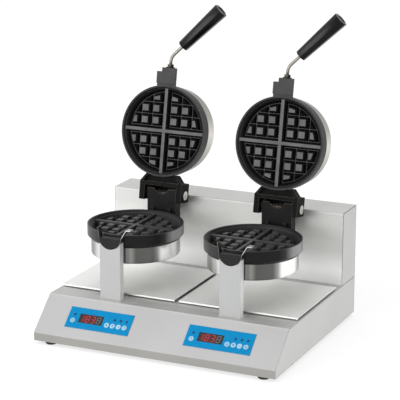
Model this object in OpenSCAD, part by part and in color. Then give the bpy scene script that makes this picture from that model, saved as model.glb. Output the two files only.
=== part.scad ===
// Twin rotary waffle baker: two flip-over round bakers on one stainless steel counter cabinet.
// Origin: centre of the plan outline, on the surface that the feet stand on. +Z up, front is -Y.

/* [Cabinet] */
// Width of the cabinet
cabinet_w = 556; // [540:1:620]
// Depth of the cabinet
cabinet_d = 464; // [456:1:520]
// Thickness of the stainless sheet
sheet = 1.2; // [1:0.1:1.6]
// Outer radius of every fold in the sheet
fold_r = 3; // [2:0.5:5]
// Height of the upright front lip
lip_h = 18; // [16:1:26]
// Height of the deck above the cabinet's underside
deck_h = 84; // [80:1:110]
// How far the sloping front runs back
slope_run = 74; // [70:1:80]
// Depth of the rear housing
housing_d = 82; // [74:1:90]
// Height of the rear housing above the deck
housing_h = 164; // [164:1:190]
// Height of the base plate's turned-up edge
base_edge_h = 14; // [8:1:18]
// Height of a rubber foot
foot_h = 8; // [6:1:16]
// Diameter of a rubber foot
foot_d = 25; // [20:1:30]
// Distance of each foot's centre from the cabinet's sides
foot_inset_x = 32; // [20:1:60]
// Distance of each foot's centre from the cabinet's front and back
foot_inset_y = 18; // [16:1:60]

/* [Control panels] */
// Width of a control fascia
fascia_w = 150; // [148:1:170]
// Height of a control fascia, along the slope
fascia_h = 50; // [46:1:60]
// Thickness of a control fascia
fascia_t = 1; // [0.8:0.1:1.5]
// Radius of a push button's cap
button_r = 5.8; // [5:0.1:6.2]
// How far a button stands out of its fascia
button_proud = 1.3; // [1.2:0.1:2]
// How far a button travels
button_travel = 0.8; // [0.4:0.1:1]
// Spacing of the four buttons in the row
key_pitch = 14; // [13:0.5:14.5]
// Place of the row's first button, right of the fascia's centre
key_first = 20; // [18:1:22]
// Place of the single button, left of the fascia's centre
key_single = 61; // [60:1:61]
// How far the buttons lie below the fascia's centre line
key_drop = 8; // [6:1:9]
// How far the lamps lie above the fascia's centre line
lamp_rise = 7; // [6:1:9]
// Radius of an indicator lamp
lamp_r = 2.5; // [1.5:0.1:3]
// Width of the display
display_w = 56; // [50:1:58]
// Height of the display
display_h = 21.5; // [16:0.5:24]
// Place of the display's centre, left of the fascia's centre
display_left = 20; // [19:1:22]
// Depth of the circuit board behind the sloping front
board_depth = 14; // [12:0.5:18]

/* [Waffle plates] */
// Distance between the two bakers' centre lines
unit_pitch = 278; // [262:1:290]
// Distance of the bakers' centres from the cabinet's front
unit_setback = 210; // [204:1:214]
// Height of the bakers' turning axis above the deck
axis_h = 135.5; // [134.5:0.5:141.5]
// Outer radius of the lower plate
plate_r = 105; // [103:0.5:108]
// How much smaller the lid's plate is, all round
lid_inset = 3.5; // [2:0.5:6]
// Height of a plate's upright black band
band_h = 23; // [22.5:0.5:30]
// Height of the chamfer below the band
band_chamfer_h = 7; // [4:1:9]
// Depth of a plate's baking cavity
cavity_depth = 17; // [14:1:20]
// How far the cavity's wall slopes inwards, below the lower plate's land
cavity_slope = 14; // [12:0.5:16]
// Width of the flat land round the cavity
rim_land = 4; // [3:0.5:6]
// Thickness of the cavity's floor
floor_t = 5; // [4:1:8]
// Gap between the two plates when the lid is shut
lid_gap = 0.3; // [0.2:0.1:1]
// Spacing of the pegs
peg_pitch = 26.5; // [26:0.25:27]
// Distance of the first peg from the middle of the plate
peg_first = 22; // [21.5:0.25:22.5]
// Width of a peg's top
peg_top = 14; // [10:0.5:16]
// Width of the flat valley between pegs
peg_valley = 1.5; // [1:0.25:3]
// How far the pegs and bars lie below the rim
peg_drop = 5; // [3:0.5:8]
// Gap between the outermost pegs and the cavity's wall, at the floor
peg_wall_gap = 1.5; // [1:0.25:3]
// How far the outermost pegs slope inwards
peg_trim = 6.5; // [6:0.5:8]
// Width of the top of the dividing bars
bar_top = 7; // [5:0.5:9]
// Rows of pegs in a quarter of the plate
peg_rows = 3; // [2:1:3]

/* [Drums and heaters] */
// How much smaller a drum is than the lower plate, all round
drum_inset = 8; // [7:0.5:10]
// Height of a drum's end above or below the rim
drum_h = 66; // [60:1:70]
// Sheet thickness of a drum
drum_wall = 1.2; // [1:0.1:1.6]
// Radius of the drum's rounded end
drum_round = 4; // [3:0.5:8]
// Radius of the heating element's ring
element_ring_r = 60; // [50:1:75]
// Radius of the heating element's tube
element_r = 4; // [3:0.25:5]

/* [Front bearing] */
// How far the axis that a baker turns on lies below its rim
axis_drop = 4.5; // [4:0.5:6]
// Radius of the trunnion on the lower plate
trunnion_r = 24.5; // [22:0.5:25]
// How far the trunnion stands out in front of the post
trunnion_proud = 1.5; // [0.5:0.5:4]
// How far the trunnion's flat top lies below the rim
trunnion_drop = 4; // [3:0.5:6]
// Running clearance of the trunnion in its saddle
trunnion_clearance = 0.08; // [0.05:0.01:0.1]
// Thickness of the saddle strip
saddle_t = 1.5; // [1.2:0.1:2]
// Length of the saddle strip, front to back
saddle_l = 15; // [10:1:15]
// Height of the saddle's ends above the axis
saddle_rise = 21.5; // [18:0.5:24]
// Angle of the saddle's flared end from upright, in degrees
saddle_flare = 32; // [20:1:40]
// Width of the saddle's flat tab
saddle_tab = 10; // [6:1:12]
// Width of a post
post_w = 48; // [44:1:50]
// Depth of a post's side flanges
post_d = 16; // [12:1:16]
// Gap between a post's side flanges and the lower plate
post_gap = 1; // [1:0.5:4]
// Sheet thickness of a post
post_t = 1.5; // [1.2:0.1:2]
// Depth of a post's foot on the deck
post_foot_d = 35; // [25:1:36]

/* [Hinge] */
// Distance of the hinge pin behind the lower plate's edge
pin_gap = 36; // [35:0.5:40]
// Height of the hinge pin above the rim
pin_up = 30.5; // [30:0.5:33]
// Radius of the hinge pin
pin_r = 5; // [4.5:0.25:5.5]
// How far the lid opens, in degrees
open_angle = 100.5; // [95:0.5:102]
// Width of the hinge bracket
bracket_w = 70; // [66:1:72]
// Depth of the hinge bracket
bracket_d = 24; // [23:0.5:26]
// Plate thickness of the hinge bracket
bracket_t = 3; // [2.5:0.25:3.25]
// Distance of the pin behind the bracket's face
bracket_pin_inset = 12; // [12:0.25:13]
// Height of the bracket above the pin
bracket_above_pin = 13.5; // [13:0.5:14]
// Depth of the bracket below the rim
bracket_below_rim = 27; // [24:1:30]
// Spacing of the two hinge screws
hinge_screw_pitch = 41; // [38:1:44]
// Thickness of each ear of the lid's yoke
ear_t = 12; // [8:0.5:14]
// Outer width of the yoke across its ears
yoke_w = 102; // [100:1:106]
// Width of the yoke where it meets the lid
yoke_neck_w = 74; // [66:1:80]
// Radius of the hinge pin's head
pin_head_r = 10; // [8:0.5:12]
// Radius of the spring's wire
spring_wire_r = 1.2; // [0.8:0.1:1.3]
// Turns in the spring
spring_turns = 8; // [5:1:9]

/* [Rear axle] */
// Radius of the hollow rear axle
axle_r = 14; // [12:0.5:15]
// Bore radius of the hollow rear axle
axle_bore_r = 10; // [8:0.5:11]
// Running clearance of the rear axle in its bearing
axle_clearance = 0.08; // [0.05:0.01:0.1]
// Radius of the rear bearing's flange
bearing_flange_r = 22; // [20:0.5:22.5]
// Length of the rear bearing inside the housing
bearing_l = 20; // [12:1:26]

/* [Handle] */
// Length of the lid's block in front of its plate
block_l = 39; // [36:1:42]
// Width of the lid's block
block_w = 45.4; // [40:0.2:47]
// Width of the step cut from the block's left corner
block_step_w = 12; // [8:1:13]
// Length of the step cut from the block's left corner
block_step_l = 9; // [6:1:12]
// Radius of the handle's rod
rod_r = 3.5; // [3:0.25:4.5]
// Straight length of the rod in front of the block
rod_straight = 13; // [11:0.5:20]
// Bend radius of the rod
rod_bend_r = 25; // [18:1:30]
// Straight length of the rod between its bend and the grip
rod_reach = 27; // [20:1:40]
// Length of the grip
grip_l = 121; // [100:1:130]
// Width of the grip at the rod
grip_d1 = 26; // [22:0.5:28]
// Width of the grip at its free end
grip_d2 = 34; // [28:0.5:38]

/* [Trays] */
// Height of a tray's top above the deck
tray_h = 6.3; // [5:0.1:9]
// Plate thickness of a tray
tray_t = 1.5; // [1:0.1:2]
// Gap between the two trays
tray_gap = 10; // [6:1:16]
// Gap between a tray's edge and the cabinet's side
tray_side_gap = 2; // [1:0.5:6]
// Gap between a tray and the post's foot
tray_front_gap = 2; // [1:0.5:6]
// Gap between a tray and the rear housing
tray_rear_gap = 32; // [20:1:50]

/* [Hidden] */
$fn = 96;
left = -1;
right = 1;
eps = 0.5;

// The gland stands out behind the cabinet, and the plan outline is centred with it.
gland_proud = 12;
gland_r = 9;
gland_bore_r = 5;
gland_nut_l = 6;
gland_inset = 78;
gland_x = cabinet_w / 2 - gland_inset;
gland_up = 42;
post_reach = plate_r + post_gap + post_d;
pin_back = plate_r + pin_gap;
front_y = -(cabinet_d + gland_proud) / 2;
back_y = front_y + cabinet_d;
side_x = cabinet_w / 2;
bottom_z = foot_h;
lip_z = bottom_z + lip_h;
deck_z = bottom_z + deck_h;
slope_y = front_y + slope_run;
housing_y = back_y - housing_d;
housing_z = deck_z + housing_h;
slope_angle = atan2(deck_z - lip_z, slope_run);
slope_l = norm([slope_run, deck_z - lip_z]);
unit_y = front_y + unit_setback;
rim_h = axis_h + axis_drop;
rim_z = deck_z + rim_h;
deck_cutout_margin_x = 60;
deck_cutout_margin_y = 20;

// Control panel
panel_window_w = 2 * (key_single + 8.5);
panel_window_h = 2 * (key_drop + 11.2);
hole_gap = 0.2;
button_flange = 1.2;
button_flange_t = 1.3;
button_seat_gap = 0.05;
stem_r = 2.4;
switch_size = 6;
switch_h = 3.5;
board_t = 1.6;
board_margin = 3;
standoff_r = 2.2;
display_recess = 0.6;
key_x = concat([-key_single], [for (i = [0:3]) key_first + i * key_pitch]);
lamp_x = concat([-key_single], [for (i = [1:3]) key_first + i * key_pitch]);

// Plates, in the baker's own frame: the rotor's axis runs along Y at z = 0, the rim of the
// lower plate is at z = 0, and the plate's centre is at x = y = 0.
lid_r = plate_r - lid_inset;
cavity_floor_r = plate_r - rim_land - cavity_slope;
drum_r = plate_r - drum_inset;
skirt_fit = 0.2;
skirt_t = 1.3;
peg_base = peg_pitch - peg_valley;
bar_base = 2 * (peg_first - peg_base / 2 - peg_valley);
element_gap = 0.2;
element_angle = 320;
element_pin_r = 2.5;
element_pin_l = 18;
block_gap = 0.5;
block_r = trunnion_r - 0.3;
block_proud = trunnion_drop - block_gap;
band_bite = 4;

// Hinge
pin_hole_gap = 0.03;
ear_hole_gap = 0.05;
side_gap = 0.1;
bracket_y = pin_back - bracket_pin_inset;
bracket_top = pin_up + bracket_above_pin;
dip_r = 19;
dip_depth = 12.5;
bracket_chamfer = 8;
lug_w = 60;
lug_top = -8;
screw_r = 2.5;
screw_z = -2;
screw_head_r = 4.25;
screw_head_l = 5;
screw_grip = 8;
axle_block_w = 56;
axle_block_t = 12;
axle_block_low = -26;
axle_block_high = 10;
axle_tail = 12;
collar_r = 9;
pin_head_t = 3;
pin_tail_r = 7;
pin_tail_t = 2;
spring_r = pin_r + 1 + spring_wire_r;
spring_half_l = 14;
spring_leg_low = 13;
spring_leg_high = 10;
ear_front = 20.5;
ear_rear = 21.5;
ear_end = 16;
ear_round = 2;
yoke_cover_t = 3;
yoke_cover_end = 8;
yoke_low = pin_up - ear_front;
yoke_plate_t = 10;
yoke_rib_h = 20;
yoke_rib_t = 6;
yoke_bar_near = 18;
yoke_bar_far = 26;
yoke_bar_t = 12;
yoke_seat_gap = 0.1;

// Bearings, handle, small fittings
saddle_r = trunnion_r + trunnion_clearance;
saddle_outer_r = saddle_r + saddle_t;
saddle_weld_gap = 0.05;
saddle_lean = 3.5;
bearing_wall = 3;
bearing_flange_t = 4;
rod_x = 4;
rod_z = 8;
rod_hole_gap = 0.1;
rod_joint_step = 0.02;
rod_in_block = 12;
rod_in_grip = 40;
rod_angle = 45;
washer_r = 10;
washer_t = 2;
nut_w = 13;
nut_l = 6;
grip_chamfer = 1.5;
grip_sides = 8;
tray_runner_w = 4;
tray_runner_inset = 15;
tray_edge_h = 2.8;
foot_stud_r = 3;
foot_stud_l = 8;
foot_chamfer = 1.5;
vent_w = 60;
vent_h = 4;
vent_pitch = 12;

// Mitred offset of a corner between two straight runs at angles a1 and a2.
function inset(p, a1, a2, t) =
    p + t * [sin(a1) + sin(a2), -cos(a1) - cos(a2)] / (1 + cos(a1 - a2));

// Points round a fold whose outer radius is fold_r, at radius r about the fold's centre.
function fold(p, a1, a2, r, steps = 5) =
    [for (i = [0:steps]) let (a = a1 + 90 + (a2 - a1) * i / steps)
        inset(p, a1, a2, fold_r) + r * [cos(a), sin(a)]];

// Side outline of the base from the front lip over the slope to the deck's rear edge.
function base_line(t) = concat(
    [[front_y + t, bottom_z]],
    fold([front_y, lip_z], 90, slope_angle, fold_r - t),
    fold([slope_y, deck_z], slope_angle, 0, fold_r - t),
    [[back_y - sheet, deck_z - t]]
);

function reversed(list) = [for (i = [len(list) - 1:-1:0]) list[i]];

// Puts children on the YZ plane and gives them a thickness along +X.
module along_x(x0, x1) {
    translate([x0, 0, 0]) rotate([90, 0, 90]) linear_extrude(x1 - x0) children();
}

// Puts children on the XZ plane and gives them a depth from y0 towards +Y.
module along_y(y0, y1) {
    translate([0, y1, 0]) rotate([90, 0, 0]) linear_extrude(y1 - y0) children();
}

// A cylinder along +Y from y0 to y1.
module rod_y(r, y0, y1, sides = $fn) {
    translate([0, y0, 0]) rotate([-90, 0, 0]) cylinder(r = r, h = y1 - y0, $fn = sides);
}

// A cylinder along +X from x0 to x1.
module rod_x(r, x0, x1) {
    translate([x0, 0, 0]) rotate([0, 90, 0]) cylinder(r = r, h = x1 - x0);
}

// A box from its two corners.
module box(a, b) {
    translate(a) cube(b - a);
}

// A rectangle from its two corners, with round corners.
module round_rect(a, b, r) {
    translate([a.x + r, a.y]) square([b.x - a.x - 2 * r, b.y - a.y]);
    translate([a.x, a.y + r]) square([b.x - a.x, b.y - a.y - 2 * r]);
    for (x = [a.x + r, b.x - r]) {
        for (y = [a.y + r, b.y - r]) translate([x, y]) circle(r);
    }
}

module mirrored(side) {
    if (side == right) children();
    else mirror([1, 0, 0]) children();
}

// ---- Cabinet ----

module front_deck_panel() {
    cutout_x = side_x - deck_cutout_margin_x;
    color("silver") difference() {
        along_x(-side_x, side_x) polygon(concat(base_line(0), reversed(base_line(sheet))));
        for (side = [left, right]) on_slope(side) {
            translate([0, 0, -sheet / 2])
                cube([panel_window_w, panel_window_h, 4 * sheet], center = true);
        }
        box([-cutout_x, housing_y + deck_cutout_margin_y, deck_z - 2 * sheet],
            [cutout_x, back_y - deck_cutout_margin_y, deck_z + 1]);
    }
}

module side_panel(side) {
    flange_w = 12;
    color("silver") mirrored(side) {
        along_x(side_x - sheet, side_x)
            polygon(concat(base_line(sheet), [[back_y - sheet, bottom_z]]));
        box([side_x - flange_w, slope_y + 2 * fold_r, deck_z - 2 * sheet],
            [side_x - sheet / 2, back_y - 2 * sheet, deck_z - sheet]);
    }
}

module base_plate() {
    edge_x = side_x - sheet;
    color("silver") difference() {
        box([-edge_x, front_y + sheet, bottom_z], [edge_x, back_y - sheet, bottom_z + base_edge_h]);
        box([-edge_x + sheet, front_y + 2 * sheet, bottom_z + sheet],
            [edge_x - sheet, back_y - 2 * sheet, bottom_z + base_edge_h + 1]);
        at_feet() cylinder(r = foot_stud_r + hole_gap, h = 4 * sheet, center = true);
        for (side = [left, right]) {
            for (i = [-3:3]) {
                translate([side * unit_pitch / 2, unit_y + i * vent_pitch, bottom_z])
                    cube([vent_w, vent_h, 4 * sheet], center = true);
            }
        }
    }
}

module back_panel() {
    top_z = housing_z - sheet;
    color("silver") difference() {
        box([-side_x, back_y - sheet, bottom_z], [side_x, back_y, top_z]);
        for (side = [left, right]) {
            for (i = [0:6]) {
                translate([side * unit_pitch / 2, back_y, deck_z + 50 + i * vent_pitch])
                    cube([vent_w, 4 * sheet, vent_h], center = true);
            }
        }
        translate([gland_x, 0, bottom_z + gland_up])
            rod_y(gland_r + hole_gap, back_y - 2 * sheet, back_y + sheet);
    }
}

// Housing outline on the YZ plane, t inside the outer face, with a rounded front top edge.
module housing_outline(t) {
    y0 = housing_y + t;
    z1 = housing_z - t;
    r = fold_r - t;
    translate([y0, deck_z]) square([housing_d - sheet - t, z1 - r - deck_z]);
    translate([y0 + r, deck_z]) square([housing_d - sheet - t - r, z1 - deck_z]);
    translate([y0 + r, z1 - r]) circle(r);
}

module housing_cover() {
    flange_d = 10;
    color("silver") difference() {
        union() {
            along_x(-side_x, side_x) difference() {
                union() {
                    housing_outline(0);
                    translate([back_y - 2 * sheet, housing_z - sheet]) square([2 * sheet, sheet]);
                }
                housing_outline(sheet);
                translate([housing_y + 2 * fold_r, deck_z - 1])
                    square([housing_d, housing_h + 1 - sheet]);
            }
            box([-side_x + 2 * sheet, housing_y + sheet / 2, deck_z],
                [side_x - 2 * sheet, housing_y + flange_d, deck_z + sheet]);
        }
        for (side = [left, right]) {
            at_axis(side) rod_y(axle_r + bearing_wall + hole_gap, housing_y - unit_y - 1,
                housing_y - unit_y + 2 * sheet);
        }
    }
}

module housing_end(side) {
    color("silver") mirrored(side) along_x(side_x - sheet, side_x) housing_outline(sheet);
}

module at_feet() {
    for (x = [-side_x + foot_inset_x, side_x - foot_inset_x]) {
        for (y = [front_y + foot_inset_y, back_y - foot_inset_y]) {
            translate([x, y, bottom_z]) children();
        }
    }
}

module rubber_feet() {
    color("black") at_feet() rotate_extrude() polygon([
        [0, -foot_h], [foot_d / 2 - foot_chamfer, -foot_h], [foot_d / 2, foot_chamfer - foot_h],
        [foot_d / 2, 0], [foot_stud_r, 0], [foot_stud_r, foot_stud_l], [0, foot_stud_l],
    ]);
}

module cable_gland() {
    inner_l = 10;
    color("dimgray") translate([gland_x, back_y, bottom_z + gland_up]) difference() {
        union() {
            rod_y(gland_r, -sheet - inner_l, gland_proud - 2);
            rod_y(gland_r + 4, 0, gland_nut_l, 6);
            rod_y(gland_r + 4, -sheet - gland_nut_l, -sheet, 6);
            rod_y(gland_r - 1, gland_proud - 3, gland_proud);
        }
        rod_y(gland_bore_r, -sheet - inner_l - 1, gland_proud + 1);
    }
}

module terminal_block() {
    block = [70, 26, 20];
    floor_z = bottom_z + sheet;
    color("ivory") translate([gland_x - 30, back_y - 46, floor_z]) difference() {
        translate([-block.x / 2, -block.y / 2, 0]) cube(block);
        for (i = [-2:2]) {
            translate([i * 13, 0, block.z - 6]) cylinder(r = 3.5, h = 7);
            translate([i * 13, 0, 6]) rod_y(2.5, -block.y, block.y);
        }
    }
}

// ---- Control panels ----

// Frame on the sloping front: x across, y up the slope, z out of the sheet, centred on a fascia.
module on_slope(side) {
    translate([side * unit_pitch / 2, front_y, lip_z]) rotate([slope_angle, 0, 0])
        translate([0, slope_l / 2, 0]) children();
}

module control_fascia(side) {
    color("dodgerblue") on_slope(side) difference() {
        translate([-fascia_w / 2, -fascia_h / 2, 0]) cube([fascia_w, fascia_h, fascia_t]);
        for (x = key_x) {
            translate([x, -key_drop, -1]) cylinder(r = button_r + hole_gap, h = 4);
        }
        for (x = lamp_x) {
            translate([x, lamp_rise, -1]) cylinder(r = lamp_r + hole_gap / 2, h = 4);
        }
        translate([-display_left, 0, 0])
            cube([display_w + 2 * hole_gap, display_h + 2 * hole_gap, 4], center = true);
    }
}

module control_boards() {
    low = -board_depth;
    board_w = panel_window_w + 2 * board_margin;
    board_h = panel_window_h + 2 * board_margin;
    color("darkgreen") for (side = [left, right]) on_slope(side) {
        translate([-board_w / 2, -board_h / 2, low]) cube([board_w, board_h, board_t]);
        for (x = [-50, 0, 50]) {
            for (y = [-1, 1] * (panel_window_h / 2 + standoff_r + 0.2)) {
                translate([x, y, low]) cylinder(r = standoff_r, h = board_depth - sheet);
            }
        }
        for (x = key_x) {
            translate([x, -key_drop, low + board_t + switch_h / 2])
                cube([switch_size, switch_size, switch_h], center = true);
        }
    }
}

module displays() {
    back_h = board_t - board_depth;
    color("black") for (side = [left, right]) on_slope(side) {
        translate([-display_left - display_w / 2, -display_h / 2, back_h])
            cube([display_w, display_h, fascia_t - display_recess - back_h]);
    }
}

module indicator_lamps() {
    back_h = board_t - board_depth;
    color("darkred") for (side = [left, right]) on_slope(side) {
        for (x = lamp_x) translate([x, lamp_rise, 0]) {
            translate([0, 0, back_h]) cylinder(r = lamp_r, h = fascia_t - back_h);
            translate([0, 0, fascia_t]) sphere(r = lamp_r);
        }
    }
}

module button(side, index) {
    switch_top = board_t + switch_h - board_depth;
    stem_end = switch_top + button_travel + 0.1;
    color("lightskyblue") on_slope(side) translate([key_x[index - 1], -key_drop, 0])
        rotate_extrude() {
            square_from([0, -button_seat_gap - button_flange_t],
                [button_r + button_flange, -button_seat_gap]);
            square_from([0, -button_flange_t], [button_r, fascia_t + button_proud - 0.4]);
            square_from([0, 0], [button_r - 0.4, fascia_t + button_proud]);
            square_from([0, stem_end], [stem_r, 0]);
        }
}

module square_from(a, b) {
    translate(a) square(b - a);
}

// ---- Posts, saddles, bearings, trays ----

// Frame of a baker: its plate's centre, at the height of the lower rim.
module at_unit(side) {
    translate([side * unit_pitch / 2, unit_y, rim_z]) children();
}

// The same frame, at the height of the axis that the baker turns on.
module at_axis(side) {
    at_unit(side) translate([0, 0, -axis_drop]) children();
}

module post(side) {
    face_y = -post_reach;
    half = post_w / 2;
    foot_z = -axis_h;
    color("silver") at_axis(side) difference() {
        union() {
            box([-half, face_y, foot_z], [half, face_y + post_t, 0]);
            for (x = [-half, half - post_t]) {
                box([x, face_y, foot_z], [x + post_t, face_y + post_d, 0]);
            }
            box([-half, face_y, foot_z], [half, face_y + post_foot_d, foot_z + post_t]);
        }
        rod_y(saddle_outer_r + saddle_weld_gap, face_y - 1, face_y + post_d + 1);
        box([-half - 1, face_y - 1, -saddle_t], [half + 1, face_y + post_d + 1, 1]);
    }
}

// End view of a saddle: a half ring with one leaning end and one flared end with a flat tab.
module saddle_outline() {
    bend_z = saddle_rise - saddle_t;
    flare_x = tan(saddle_flare) * bend_z;
    flare_t = saddle_t / cos(saddle_flare);
    difference() {
        circle(saddle_outer_r);
        circle(saddle_r);
        translate([-saddle_outer_r - 1, 0]) square(2 * saddle_outer_r + 2);
    }
    polygon([[-saddle_outer_r, 0], [-saddle_r, 0], [-saddle_r - saddle_lean, saddle_rise],
        [-saddle_outer_r - saddle_lean, saddle_rise]]);
    polygon([[saddle_r, 0], [saddle_outer_r, 0], [saddle_outer_r + flare_x, bend_z],
        [saddle_outer_r + flare_x + saddle_tab, bend_z],
        [saddle_outer_r + flare_x + saddle_tab, saddle_rise],
        [saddle_outer_r + flare_x - flare_t + saddle_t * tan(saddle_flare), saddle_rise]]);
}

module saddles() {
    color("silver") for (side = [left, right]) {
        at_axis(side) along_y(-post_reach, saddle_l - post_reach) saddle_outline();
    }
}

module rear_bearings() {
    wall_y = housing_y - unit_y;
    color("peru") for (side = [left, right]) at_axis(side) difference() {
        union() {
            rod_y(bearing_flange_r, wall_y - bearing_flange_t, wall_y);
            rod_y(axle_r + bearing_wall, wall_y - 1, wall_y + bearing_l);
        }
        rod_y(axle_r + axle_clearance, wall_y - bearing_flange_t - 1, wall_y + bearing_l + 1);
    }
}

module drip_tray(side) {
    x0 = tray_gap / 2;
    x1 = side_x - tray_side_gap;
    y0 = unit_y - post_reach + post_foot_d + tray_front_gap;
    y1 = housing_y - tray_rear_gap;
    top_z = deck_z + tray_h;
    plate_z = top_z - tray_t;
    color("silver") mirrored(side) {
        box([x0, y0, plate_z], [x1, y1, top_z]);
        for (y = [y0, y1 - tray_t]) {
            box([x0, y, top_z - tray_t / 2 - tray_edge_h], [x1, y + tray_t, top_z - tray_t / 2]);
        }
        for (y = [y0 + tray_runner_inset, y1 - tray_runner_inset - tray_runner_w]) {
            box([x0 + tray_runner_inset, y, deck_z],
                [x1 - tray_runner_inset, y + tray_runner_w, top_z - tray_t / 2]);
        }
    }
}

// ---- Waffle plates ----

// A ridge with sloping sides along X, centred on y = c.
module ridge(c, top_w, base_w, turn = 0) {
    rotate([0, 0, turn]) along_x(-plate_r, plate_r) polygon([
        [c - base_w / 2, -cavity_depth - eps], [c + base_w / 2, -cavity_depth - eps],
        [c + base_w / 2, -cavity_depth], [c + top_w / 2, -peg_drop],
        [c - top_w / 2, -peg_drop], [c - base_w / 2, -cavity_depth],
    ]);
}

// The pegs of one plate: a grid of ridges crossed with ridges, trimmed to a shallow cone.
module pegs() {
    floor_r = cavity_floor_r - peg_wall_gap;
    low = -cavity_depth - eps;
    for (row = [0:peg_rows - 1]) {
        for (row_side = [-1, 1]) intersection() {
            ridge(row_side * (peg_first + row * peg_pitch), peg_top, peg_base);
            union() for (col = [0:peg_rows - 1]) {
                for (col_side = [-1, 1]) {
                    ridge(col_side * (peg_first + col * peg_pitch), peg_top, peg_base, 90);
                }
            }
            translate([0, 0, low]) cylinder(r1 = floor_r, r2 = floor_r - peg_trim, h = -peg_drop - low);
        }
    }
}

// The cross of dividing bars, run out into the cavity's sloping wall.
module bars(r, land) {
    intersection() {
        union() {
            ridge(0, bar_top, bar_base);
            ridge(0, bar_top, bar_base, 90);
        }
        rotate_extrude() polygon([[0, -cavity_depth - eps], [cavity_floor_r, -cavity_depth - eps],
            [r - land + 1, 0], [0, 0]]);
    }
}

// One cast plate, cavity upwards, rim at z = 0.
module waffle_plate(r, land) {
    under = -cavity_depth - floor_t;
    skirt_end = -band_h - band_chamfer_h;
    rotate_extrude() polygon([
        [0, -cavity_depth], [cavity_floor_r, -cavity_depth], [r - land, 0], [r, 0],
        [r, -band_h], [drum_r + skirt_fit + skirt_t, skirt_end], [drum_r + skirt_fit, skirt_end],
        [drum_r + skirt_fit, under], [0, under],
    ]);
    pegs();
    bars(r, land);
}

module lower_plate(side) {
    reach = post_reach + trunnion_proud;
    root_y = plate_r - band_bite;
    color("dimgray") at_unit(side) {
        waffle_plate(plate_r, rim_land);
        difference() {
            translate([0, 0, -axis_drop]) rod_y(trunnion_r, -reach, -root_y);
            box([-trunnion_r - 1, -reach - 1, -trunnion_drop], [trunnion_r + 1, 0, trunnion_r + 1]);
        }
        box([-lug_w / 2, root_y - 2, -band_h], [lug_w / 2, bracket_y, lug_top]);
    }
}

// Profile of a drum: an open cup with a rounded end, r outside and z0 at the closed end.
module cup_profile(r, z0, z1, round_r) {
    square_from([0, z0], [r - round_r, z1]);
    square_from([0, z0 + round_r], [r, z1]);
    translate([r - round_r, z0 + round_r]) circle(round_r);
}

module drum() {
    open_z = -cavity_depth - floor_t;
    rotate_extrude() difference() {
        intersection() {
            cup_profile(drum_r, -drum_h, open_z, drum_round);
            square_from([0, -drum_h], [drum_r, open_z]);
        }
        intersection() {
            cup_profile(drum_r - drum_wall, drum_wall - drum_h, open_z + 1, drum_round - drum_wall);
            square_from([0, -drum_h], [drum_r, open_z + 1]);
        }
    }
}

module element() {
    z = -cavity_depth - floor_t - element_gap - element_r;
    open_half = (360 - element_angle) / 2;
    translate([0, 0, z]) {
        rotate([0, 0, 90 + open_half]) rotate_extrude(angle = element_angle)
            translate([element_ring_r, 0]) circle(element_r, $fn = 32);
        for (a = [90 - open_half, 90 + open_half]) rotate([0, 0, a]) {
            translate([element_ring_r, 0, -element_pin_l]) cylinder(r = element_pin_r, h = element_pin_l);
        }
    }
}

// ---- Hinge ----

module hinge_bracket(side) {
    half = bracket_w / 2;
    y1 = bracket_y + bracket_d;
    color("#2b2b2b") at_unit(side) difference() {
        union() {
            box([-half, bracket_y, -bracket_below_rim], [half, bracket_y + bracket_t, bracket_top]);
            for (x = [-half, half - bracket_t]) along_x(x, x + bracket_t) polygon([
                [bracket_y, -bracket_below_rim], [y1, -bracket_below_rim],
                [y1, bracket_top - bracket_chamfer], [y1 - bracket_chamfer, bracket_top],
                [bracket_y, bracket_top],
            ]);
        }
        translate([0, 0, bracket_top - dip_depth + dip_r])
            rod_y(dip_r, bracket_y - 1, bracket_y + bracket_t + 1);
        translate([0, pin_back, pin_up]) rod_x(pin_r + pin_hole_gap, -half - 1, half + 1);
        at_hinge_screws() rod_y(screw_r + hole_gap, -1, bracket_t + 1);
    }
}

module at_hinge_screws() {
    for (x = [-hinge_screw_pitch / 2, hinge_screw_pitch / 2]) {
        translate([x, bracket_y, screw_z]) children();
    }
}

module hinge_screws(side) {
    color("#3a3a3a") at_unit(side) at_hinge_screws() difference() {
        union() {
            rod_y(screw_head_r, -screw_head_l, 0);
            rod_y(screw_r, -1, bracket_t + screw_grip);
        }
        rod_y(2.3, -screw_head_l - 1, -screw_head_l + 3, 6);
    }
}

module rear_axle(side) {
    y0 = bracket_y + bracket_t;
    y1 = y0 + axle_block_t;
    end_y = housing_y - unit_y + bearing_l + axle_tail;
    color("gray") at_unit(side) difference() {
        union() {
            box([-axle_block_w / 2, y0, axle_block_low], [axle_block_w / 2, y1, axle_block_high]);
            translate([0, 0, -axis_drop]) rod_y(axle_r, y1 - 1, end_y);
        }
        translate([0, 0, -axis_drop]) rod_y(axle_bore_r, y0 - 1, end_y + 1);
        at_hinge_screws() rod_y(screw_r + hole_gap / 4, bracket_t - 1, bracket_t + screw_grip + 0.5);
    }
}

module hinge_pin(side) {
    inner = bracket_w / 2 + side_gap;
    ear_in = yoke_w / 2 - ear_t - side_gap;
    ear_out = yoke_w / 2 + side_gap;
    color("goldenrod") at_unit(side) translate([0, pin_back, pin_up]) {
        rod_x(pin_r, -ear_out - pin_tail_t, ear_out + 1);
        rod_x(pin_tail_r, -ear_out - pin_tail_t, -ear_out);
        rod_x(pin_head_r, ear_out, ear_out + pin_head_t);
        rod_x(collar_r, inner, ear_in);
        rod_x(collar_r, -ear_in, -inner);
    }
}

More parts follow.
